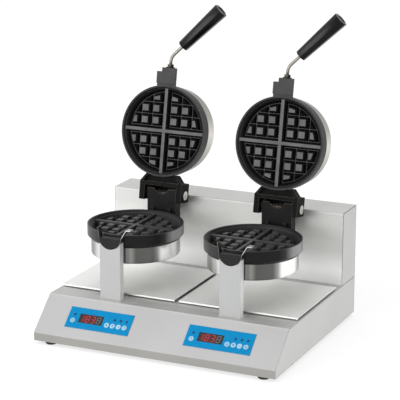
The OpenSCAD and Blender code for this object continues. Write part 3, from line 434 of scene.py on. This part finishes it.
# Nickel-plated steel rod, darkened by heat and grease where its collar meets the lid.
def rodMaterial(side):
    material, tree, shader = newMaterial(f"nickelPlatedSteel.{side}")
    shader.inputs["Metallic"].default_value = 1.0
    place = addNode(tree, "ShaderNodeTexCoord").outputs["Object"]
    parts = addNode(tree, "ShaderNodeSeparateXYZ", inputs={"Vector": place})
    lidTop = max(vertex.co.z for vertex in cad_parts[f"lid_plate_{side}"].data.vertices)
    clean = addNode(tree, "ShaderNodeMapRange", inputs={
        "Value": parts.outputs["Z"], "From Min": lidTop + rod["stainMm"][0] * mm,
        "From Max": lidTop + rod["stainMm"][1] * mm})
    colour = addNode(tree, "ShaderNodeMix", {"data_type": "RGBA"},
                     {"Factor": clean.outputs[0], "A": linear(rod["stained"]), "B": linear(rod["plate"])})
    grain = addNode(tree, "ShaderNodeTexNoise", inputs={
        "Scale": 1 / (rod["grainMm"] * mm), "Detail": rod["grainDetail"], "Vector": place})
    finishShader(tree, shader, colour.outputs["Result"], grain.outputs[0], rod)
    return material


pin = {
    "steel": "#f4f2ec", "brass": "#a8843f", "ringFromMm": 35, "ringToMm": 39, "grainsPerM": 900.0,
    "roughness": 0.22, "relief": 0.05, "reliefMm": 0.1, "edgeMm": 0.8,
}


# Polished steel pin with turned brass distance rings between the bracket and the yoke's ears.
def pinMaterial():
    material, tree, shader = newMaterial("polishedPinBrassRings")
    shader.inputs["Metallic"].default_value = 1.0
    place = addNode(tree, "ShaderNodeTexCoord").outputs["Object"]
    parts = addNode(tree, "ShaderNodeSeparateXYZ", inputs={"Vector": place})
    offset = bakerOffset(tree, parts.outputs["X"])
    away = addNode(tree, "ShaderNodeMath", {"operation": "ABSOLUTE"}, {0: offset})
    middle = (pin["ringFromMm"] + pin["ringToMm"]) / 2 * mm
    half = (pin["ringToMm"] - pin["ringFromMm"]) / 2 * mm
    ring = addNode(tree, "ShaderNodeMath", {"operation": "COMPARE"}, {0: away.outputs[0], 1: middle, 2: half})
    colour = addNode(tree, "ShaderNodeMix", {"data_type": "RGBA"},
                     {"Factor": ring.outputs[0], "A": linear(pin["steel"]), "B": linear(pin["brass"])})
    grain = addNode(tree, "ShaderNodeTexNoise", inputs={"Scale": pin["grainsPerM"], "Vector": place})
    edge = addNode(tree, "ShaderNodeBevel", {"samples": corners["samples"]}, {"Radius": pin["edgeMm"] * mm})
    bump = addNode(tree, "ShaderNodeBump", inputs={
        "Strength": pin["relief"], "Distance": pin["reliefMm"] * mm, "Height": grain.outputs[0],
        "Normal": edge.outputs[0]})
    setInputs(tree, shader, {
        "Base Color": colour.outputs["Result"], "Roughness": pin["roughness"], "Normal": bump.outputs[0]})
    return material


window = {
    "leftMm": -48, "rightMm": 8, "roughness": 0.12,
    "paintedLightTones": [(0.02, "#161414"), (0.12, "#3c0b0e"), (0.62, "#3c0b0e"), (0.74, "#161414")],  # left to right
}


# Tinted acrylic window, cast and polished: near black and glossy, with the red glow round the lit digits
# painted in its colour.
def displayMaterial():
    material, tree, shader = newMaterial("tintedAcrylicWindow")
    place = addNode(tree, "ShaderNodeTexCoord").outputs["Object"]
    parts = addNode(tree, "ShaderNodeSeparateXYZ", inputs={"Vector": place})
    share = addNode(tree, "ShaderNodeMapRange", inputs={
        "Value": bakerOffset(tree, parts.outputs["X"]), "From Min": window["leftMm"] * mm,
        "From Max": window["rightMm"] * mm})
    # Painted light: the red glow of the lit digits, by the place across the window.
    paintedLightTones = addNode(tree, "ShaderNodeValToRGB", inputs={"Fac": share.outputs[0]})
    setRamp(paintedLightTones, window["paintedLightTones"])
    setInputs(tree, shader, {"Base Color": paintedLightTones.outputs[0], "Roughness": window["roughness"]})
    return material


# The sheets differ in the way they are brushed, and their tones are lit and shaded copies of one steel,
# painted light for how much of the pale room each one gathers.
# Painted shade: the deck's lip, facing forward and down, is darker than its slope, and the slope darker than
# its top.
steelDeck = brushedStainless("brushedStainlessDeck", "X", [(0, "#a1a09d"), (27, "#bababa"), (91, "#c6c6c4")])
# Painted light: the trays are painted near white against the shade under the bakers.
steelPale = brushedStainless("brushedStainlessTray", "X", [(0, "#f4f4f2")])
steelAcross = brushedStainless("brushedStainlessAcross", "X", [(0, "#c8c8c6")])
# Painted light: the housing is painted lighter towards its bottom, against the dark bakers that it mirrors.
steelHousing = brushedStainless("brushedStainlessHousing", "X", [
    (0, "#ffffff"), (170, "#e0e0de"), (226, "#d2d2d0")], blendMm=40, seam="#3a3a38")
# Painted light: the posts' flanks are painted lighter than their fronts.
steelUp = brushedStainless("brushedStainlessUp", "Z", [(0, "#b8b8b8")], flank="#f0f0f0")
steelBack = brushedStainless("brushedStainlessBack", "Y", [(0, "#d8d8d6")], seam="#4a4a48")

# Iron castings under black paint: sand-cast pores, and pale corners, partly bare metal where they are rubbed
# and partly painted highlight.
blackCasting = grainedMaterial("paintedCastIron", "#101011", "#19191a", 0.42, grainMm=1.6, strength=0.3,
                               edgeMm=1.0, specular=0.2, edgeWearAndSheen="#6e6a64")
# The same casting for the yoke, as a shaded copy: painted darker, which is painted shade, and duller.
shadedCasting = grainedMaterial("castIronPaintedShade", "#0a0a0a", "#111110", 0.6, grainMm=1.6, strength=0.3,
                                edgeMm=1.0, specular=0.1, edgeWearAndSheen="#7c776e")
# Blackened steel, turned: a dark oxide skin with some of the metal's shine.
darkSteel = grainedMaterial("blackenedSteel", "#3a3a3a", "#4c4b49", 0.4, metallic=0.8)
# Oiled spring steel, drawn and coiled: brown-grey under its film of oil.
springSteel = grainedMaterial("oiledSpringSteel", "#5a5048", "#74695f", 0.38, metallic=0.9)
# Bearing bronze, turned: warm and half bright.
bronze = grainedMaterial("turnedBronze", "#8d6f43", "#a98a58", 0.34, metallic=1.0, strength=0.05)
# Steel heater sheath, tinted straw and brown by heat.
heaterSheath = grainedMaterial("heatTintedSheath", "#57503f", "#6e6350", 0.45, metallic=1.0)
# Moulded rubber: dead matt and brown-black.
rubber = grainedMaterial("mouldedRubber", "#2c2928", "#383433", 0.75, grainMm=1.0, strength=0.3)
# Moulded phenolic plastic: deep black with a sharp sheen along its facets.
blackPlastic = grainedMaterial("mouldedPhenolic", "#080808", "#0e0e0e", 0.2, grainMm=2.0, strength=0.05,
                               specular=0.15)
# Moulded nylon: black and slightly dull.
glandPlastic = grainedMaterial("mouldedNylon", "#202022", "#2a2a2c", 0.5)
# Polyester film, printed blue on its back: even colour under a faint sheen.
blueFilm = grainedMaterial("printedPolyesterFilm", "#0a82b8", "#0c87be", 0.4, grainMm=0.8, strength=0.04,
                           edgeMm=0.3, specular=0.06)
# Moulded key caps: pale blue and glossy.
keyPlastic = grainedMaterial("mouldedKeyCap", "#8dbcd8", "#a2cbe2", 0.28, grainMm=0.8, strength=0.03,
                             edgeMm=0.4)
# Ink printed on the keys: flat mid blue.
iconPrint = grainedMaterial("printedKeyMark", "#2b6f9e", "#347bab", 0.4, strength=0.02, edgeMm=0.1)
# Moulded lamp lens, unlit: dark blue and glassy.
lampLens = grainedMaterial("tintedLampLens", "#0a2f55", "#0e3866", 0.15, strength=0.02, edgeMm=0.2)
# Glass-fibre board under green solder mask.
board = grainedMaterial("solderMaskedBoard", "#0f4a26", "#15572e", 0.4)
# Moulded polyamide: cream and slightly dull.
terminal = grainedMaterial("mouldedPolyamide", "#d6d2c4", "#e0dccf", 0.5)


def dress(node, material):
    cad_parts[node].data.materials.clear()
    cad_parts[node].data.materials.append(material)


shared = {
    "front_deck_panel": steelDeck, "base_plate": steelDeck, "back_panel": steelAcross,
    "housing_cover": steelHousing, "saddles": saddleMaterial(), "rubber_feet": rubber,
    "cable_gland": glandPlastic, "terminal_block": terminal, "control_boards": board,
    "indicator_lamps": lampLens, "rear_bearings": bronze, "displays": displayMaterial(),
}
paired = {
    "drip_tray": steelPale, "side_panel": steelBack, "housing_end": steelBack, "post": steelUp,
    "control_fascia": blueFilm, "hinge_bracket": blackCasting, "lid_yoke": shadedCasting,
    "hinge_screws": darkSteel, "rear_axle": darkSteel, "hinge_spring": springSteel,
    "hinge_pin": pinMaterial(), "lower_element": heaterSheath, "lid_element": heaterSheath,
}
for node, material in shared.items():
    dress(node, material)
for side in sides:
    for piece, material in paired.items():
        dress(f"{piece}_{side}", material)
    for index in range(buttonsPerSide):
        dress(f"button_{side}_{index + 1}", keyPlastic)
    for half, isLid in (("lower", False), ("lid", True)):
        dress(f"{half}_plate_{side}", coatedIron(f"nonStickCoatedIron.{half}_plate.{side}", side, isLid))
        dress(f"{half}_drum_{side}", spunStainless(f"spunStainless.{half}_drum.{side}", side, isLid))
    dress(f"handle_rod_{side}", rodMaterial(side))
print("stage: materials on the frame")

grip = {
    "lengthMm": 119.8, "nearMm": 26, "farMm": 34, "facets": 8, "edgeMm": 2.2, "edgeSegments": 3,
    "capMm": 5.5, "dishEdgeMm": 1.5, "dishMm": 1.6,  # far end
    "collarMm": 6.0, "boreEdgeMm": 1.0, "boreMm": 1.0,  # rod end
    "rodX": 4, "rodZ": 8, "blockMm": 140.5, "straightMm": 13, "bendMm": 25, "reachMm": 27,
    "angle": math.radians(45), "sharp": math.radians(30), "smooth": math.radians(35),
}


def gripMatrix(side):
    bend = grip["bendMm"]
    across = grip["rodX"] + bend * (1 - math.cos(grip["angle"]))
    forward = grip["blockMm"] + grip["straightMm"] + bend * math.sin(grip["angle"])
    corner = Vector((across, -forward, grip["rodZ"])) * mm
    along = Matrix.Translation((0, -grip["reachMm"] * mm, 0)) @ Matrix.Rotation(math.pi / 2, 4, "X")
    spin = Matrix.Rotation(math.pi / grip["facets"], 4, "Z")
    turn = Matrix.Rotation(grip["angle"], 4, "Z")
    return lidMatrix(side) @ Matrix.Translation(corner) @ turn @ along @ spin


facing = 0.9  # how squarely a face has to look along an axis to count as an end


def selectFaces(obj, wanted):
    bpy.ops.object.mode_set(mode="OBJECT")
    for part in (obj.data.vertices, obj.data.edges, obj.data.polygons):
        part.foreach_set("select", [False] * len(part))
    for face in obj.data.polygons:
        face.select = wanted(face)
    bpy.ops.object.mode_set(mode="EDIT")


# Eight-sided moulded grip, wider at its far end.
def makeGrip(side):
    length = grip["lengthMm"] * mm
    bpy.ops.mesh.primitive_cone_add(vertices=grip["facets"], radius1=grip["nearMm"] / 2 * mm,
                                    radius2=grip["farMm"] / 2 * mm, depth=length, location=(0, 0, length / 2))
    obj = bpy.context.object
    bpy.ops.object.transform_apply(location=True, rotation=True, scale=True)
    bpy.ops.object.mode_set(mode="EDIT")
    bpy.ops.mesh.select_mode(type="FACE")
    selectFaces(obj, lambda face: face.normal.z > facing)  # far end, dished like a moulded cap
    bpy.ops.mesh.inset(thickness=grip["capMm"] * mm, depth=0)
    bpy.ops.mesh.inset(thickness=grip["dishEdgeMm"] * mm, depth=-grip["dishMm"] * mm)
    selectFaces(obj, lambda face: face.normal.z < -facing)  # rod end, with the bore for the rod
    bpy.ops.mesh.inset(thickness=grip["collarMm"] * mm, depth=0)
    bpy.ops.mesh.inset(thickness=grip["boreEdgeMm"] * mm, depth=-grip["boreMm"] * mm)
    bpy.ops.object.mode_set(mode="OBJECT")
    bevel = obj.modifiers.new("moulded edges", "BEVEL")
    bevel.width, bevel.segments = grip["edgeMm"] * mm, grip["edgeSegments"]
    bevel.limit_method, bevel.angle_limit = "ANGLE", grip["sharp"]
    bpy.ops.object.modifier_apply(modifier=bevel.name)
    obj.data.transform(gripMatrix(side))
    bpy.ops.object.shade_smooth_by_angle(angle=grip["smooth"])
    obj.name = f"grip_{side}"
    obj.data.materials.append(blackPlastic)
    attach(obj, f"lid_{side}")
    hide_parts(f"handle_grip_{side}")
    obj.select_set(False)


for side in sides:
    makeGrip(side)
print("stage: handle grips")

digits = {
    "shown": "183", "heightMm": 14.5, "widthMm": 7.8, "strokeMm": 2.0, "pitchMm": 13.2, "firstMm": -41.5,
    "gapShare": 1.15, "slant": 0.12, "thickMm": 0.15, "liftMm": 0.45, "lit": "#94181e", "unlit": "#5c5a5a",
    "glow": 0.5, "roughness": 0.4,
}
segments = {"1": "bc", "3": "abgcd", "8": "abcdefg"}  # which of the seven bars each digit lights
barEnd = {"reach": 0.9, "tip": 0.08}  # how far a bar's pointed end stands out, and how blunt it is


def segmentMaterial(name, colour, glow):
    material, tree, shader = newMaterial(name)
    setInputs(tree, shader, {"Base Color": linear(colour), "Roughness": digits["roughness"],
                             "Emission Color": linear(colour), "Emission Strength": glow})
    return material


# Diode segments cast in clear resin: lit ones glow red, and unlit ones are grey. The real ones lie behind
# the window; these stand just in front of its face, so that they show.
litRed = segmentMaterial("litDiodeSegment", digits["lit"], digits["glow"])
darkSegment = segmentMaterial("unlitDiodeSegment", digits["unlit"], 0.0)


def addBar(centre, length, width, thick, turn):
    bpy.ops.mesh.primitive_cube_add(size=1, location=(0, 0, 0))
    bar = bpy.context.object
    bar.data.transform(Matrix.Diagonal((length, width, thick, 1)))
    bpy.ops.object.mode_set(mode="EDIT")  # pointed ends, as segment bars have
    selectFaces(bar, lambda face: abs(face.normal.x) > facing)
    bpy.ops.mesh.extrude_region_move(TRANSFORM_OT_translate={"value": (0, 0, 0)})
    bpy.ops.transform.resize(value=(1 + width * barEnd["reach"] / length, barEnd["tip"], 1))
    bpy.ops.object.mode_set(mode="OBJECT")
    bar.data.transform(Matrix.Translation(centre) @ Matrix.Rotation(turn, 4, "Z"))
    return bar


def joinPieces(parts, name):
    bpy.ops.object.select_all(action="DESELECT")
    for part in parts:
        part.select_set(True)
    bpy.context.view_layer.objects.active = parts[0]
    bpy.ops.object.join()
    joined = bpy.context.object
    joined.name = name
    joined.select_set(False)
    return joined


def makeDigit(lit, atMm):
    halfWide, halfHigh, stroke = digits["widthMm"] / 2, digits["heightMm"] / 2, digits["strokeMm"]
    spots = {  # across, up, and whether the bar stands upright
        "a": (0, halfHigh, False), "g": (0, 0, False), "d": (0, -halfHigh, False),
        "b": (halfWide, halfHigh / 2, True), "c": (halfWide, -halfHigh / 2, True),
        "f": (-halfWide, halfHigh / 2, True), "e": (-halfWide, -halfHigh / 2, True),
    }
    bars = []
    for key in lit:
        x, y, upright = spots[key]
        length = (halfHigh if upright else 2 * halfWide) - stroke * digits["gapShare"]
        place = Vector((atMm + x + digits["slant"] * y, y, digits["liftMm"] + digits["thickMm"] / 2)) * mm
        turn = math.pi / 2 - math.atan(digits["slant"]) if upright else 0
        bars.append(addBar(place, length * mm, stroke * mm, digits["thickMm"] * mm, turn))
    return bars


for side in sides:
    bars = []
    for index, character in enumerate(digits["shown"]):
        bars += makeDigit(segments[character], digits["firstMm"] + index * digits["pitchMm"])
    lastMm = digits["firstMm"] + len(digits["shown"]) * digits["pitchMm"]
    lit = joinPieces(bars, f"lit_digits_{side}")
    unlit = joinPieces(makeDigit(segments["8"], lastMm), f"unlit_digit_{side}")
    for obj, material in ((lit, litRed), (unlit, darkSegment)):
        obj.data.transform(panelMatrix(side))
        obj.data.materials.append(material)
        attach(obj, "cabinet")

keys = {
    "acrossMm": [-61, 20, 34, 48, 62], "downMm": -8, "topMm": 2.3, "markMm": 0.12, "sizeMm": 3.0,
    "ringShare": 0.8, "wireMm": 0.35, "flatten": 0.35, "ringParts": 24, "wireParts": 6, "switchShare": 0.7,
    "arrowShare": 0.95, "softMm": 0.03, "offsetShare": 0.75, "tailShare": 0.5, "tailMm": 0.8,
    "rowShare": 1.3, "rowMm": 1.7, "barMm": 0.6,
}


def makeMark(side, index):
    size, thick, bar = keys["sizeMm"] * mm, keys["markMm"] * mm, keys["barMm"] * mm
    offset = size * keys["offsetShare"]
    place = Vector((keys["acrossMm"][index], keys["downMm"], keys["topMm"] + keys["markMm"] / 2)) * mm
    if index == 0:  # ring with a bar, for on and off
        bpy.ops.mesh.primitive_torus_add(
            major_radius=size * keys["ringShare"], minor_radius=keys["wireMm"] * mm,
            major_segments=keys["ringParts"], minor_segments=keys["wireParts"])
        ring = bpy.context.object
        ring.data.transform(Matrix.Diagonal((1, 1, keys["flatten"], 1)))
        switch = addBar(Vector((0, offset, 0)), size * keys["switchShare"], bar, thick, math.pi / 2)
        pieces = [ring, switch]
    elif index in (1, 2):  # up and down arrows
        up = 1 if index == 1 else -1
        bpy.ops.mesh.primitive_cylinder_add(vertices=3, radius=size * keys["arrowShare"], depth=thick)
        arrow = bpy.context.object
        arrow.data.transform(Matrix.Rotation(0 if index == 1 else math.pi, 4, "Z"))
        bevel = arrow.modifiers.new("soft corners", "BEVEL")
        bevel.width, bevel.segments = keys["softMm"] * mm, 1
        bpy.ops.object.modifier_apply(modifier=bevel.name)
        tail = addBar(Vector((0, -up * offset, 0)), size * keys["tailShare"], keys["tailMm"] * mm, thick,
                      up * math.pi / 2)
        pieces = [arrow, tail]
    else:  # two bars for the set key, three for the program keys
        rows = 2 if index == 3 else 3
        heights = [(row - (rows - 1) / 2) * keys["rowMm"] * mm for row in range(rows)]
        pieces = [addBar(Vector((0, y, 0)), size * keys["rowShare"], bar, thick, 0) for y in heights]
    mark = joinPieces(pieces, f"key_mark_{side}_{index + 1}")
    mark.data.transform(panelMatrix(side) @ Matrix.Translation(place))
    mark.data.materials.append(iconPrint)
    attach(mark, f"button_{side}_{index + 1}")


for side in sides:
    for index in range(buttonsPerSide):
        makeMark(side, index)
print("stage: digits and key marks")

studio = {
    "floorM": 60, "floorGlow": 0.66, "floorShade": 0.42, "bounce": 0.8, "world": 0.84, "seen": 1.0,
    "aim": (0, 0, 0.25), "lamps": (  # name, watts, size and place in metres
        ("high", 26, 2.4, (-1.6, -2.6, 3.2)), ("front", 40, 1.6, (-1.5, -3.1, 0.95))),
}


def lookAt(place, target):
    return (Vector(target) - Vector(place)).to_track_quat("-Z", "Y").to_matrix().to_4x4()


# 1 where a ray comes straight, mirrored or through glass, so that what it shows can be kept white.
def seenClearly(tree):
    path = addNode(tree, "ShaderNodeLightPath")
    seen = addNode(tree, "ShaderNodeMath", {"operation": "MAXIMUM"},
                   {0: path.outputs["Is Camera Ray"], 1: path.outputs["Is Glossy Ray"]})
    return addNode(tree, "ShaderNodeMath", {"operation": "MAXIMUM"},
                   {0: seen.outputs[0], 1: path.outputs["Is Transmission Ray"]}).outputs[0]


# Matt paper sweep: pale enough to run into the background, with the object's soft shadow on it.
def makeFloor():
    bpy.ops.mesh.primitive_plane_add(size=studio["floorM"])
    floor = bpy.context.object
    floor.name = "floor"
    material, tree, shader = newMaterial("paleStudioFloor")
    output = shader.outputs[0].links[0].to_node
    tree.nodes.remove(shader)
    matt = addNode(tree, "ShaderNodeBsdfDiffuse", inputs={"Color": [studio["bounce"]] * 3 + [1]})
    shade = addNode(tree, "ShaderNodeBsdfDiffuse", inputs={"Color": [studio["floorShade"]] * 3 + [1]})
    glow = addNode(tree, "ShaderNodeEmission", inputs={"Strength": studio["floorGlow"]})
    bright = addNode(tree, "ShaderNodeAddShader", inputs={0: shade.outputs[0], 1: glow.outputs[0]})
    both = addNode(tree, "ShaderNodeMixShader",
                   inputs={0: seenClearly(tree), 1: matt.outputs[0], 2: bright.outputs[0]})
    tree.links.new(both.outputs[0], output.inputs["Surface"])
    floor.data.materials.append(material)


def makeLight():
    world = bpy.data.worlds.new("softStudio")
    bpy.context.scene.world = world
    world.use_nodes = True
    tree = world.node_tree
    tree.nodes.clear()
    strength = addNode(tree, "ShaderNodeMapRange", inputs={
        "Value": seenClearly(tree), "To Min": studio["world"], "To Max": studio["seen"]})
    back = addNode(tree, "ShaderNodeBackground", inputs={
        "Color": (1, 1, 1, 1), "Strength": strength.outputs[0]})
    addNode(tree, "ShaderNodeOutputWorld", inputs={"Surface": back.outputs[0]})
    for lampName, watts, size, place in studio["lamps"]:
        bpy.ops.object.light_add(type="AREA", location=place)
        lamp = bpy.context.object
        lamp.name = lampName
        lamp.data.shape, lamp.data.size, lamp.data.energy = "DISK", size, watts
        lamp.matrix_world = Matrix.Translation(place) @ lookAt(place, studio["aim"])


view = {
    "azimuth": 24.7, "elevation": 15.305, "roll": 0.04, "distanceM": 3.7803,
    "target": (-1.965, 3.489, 286.247), "lensMm": 158.08, "sensorMm": 36, "shiftX": 0.0029, "shiftY": 0.0040,
    "clipEndM": 200,
}


def makeCamera():
    azimuth, elevation, roll = (math.radians(view[key]) for key in ("azimuth", "elevation", "roll"))
    forward = Vector((-math.sin(azimuth) * math.cos(elevation), math.cos(azimuth) * math.cos(elevation),
                      -math.sin(elevation)))
    right = Vector((math.cos(azimuth), math.sin(azimuth), 0))
    up = right.cross(forward)
    turnedRight = right * math.cos(roll) + up * math.sin(roll)
    turnedUp = up * math.cos(roll) - right * math.sin(roll)
    rotation = Matrix((turnedRight, turnedUp, -forward)).transposed().to_4x4()
    place = Vector(view["target"]) * mm - forward * view["distanceM"]
    data = bpy.data.cameras.new("camera")
    data.lens, data.sensor_width, data.clip_end = view["lensMm"], view["sensorMm"], view["clipEndM"]
    data.shift_x, data.shift_y = view["shiftX"], view["shiftY"]
    camera = bpy.data.objects.new("camera", data)
    bpy.context.scene.collection.objects.link(camera)
    camera.matrix_world = Matrix.Translation(place) @ rotation
    bpy.context.scene.camera = camera


makeFloor()
makeLight()
makeCamera()
bpy.context.scene.view_settings.view_transform = "Standard"
print("stage: floor, light and camera")
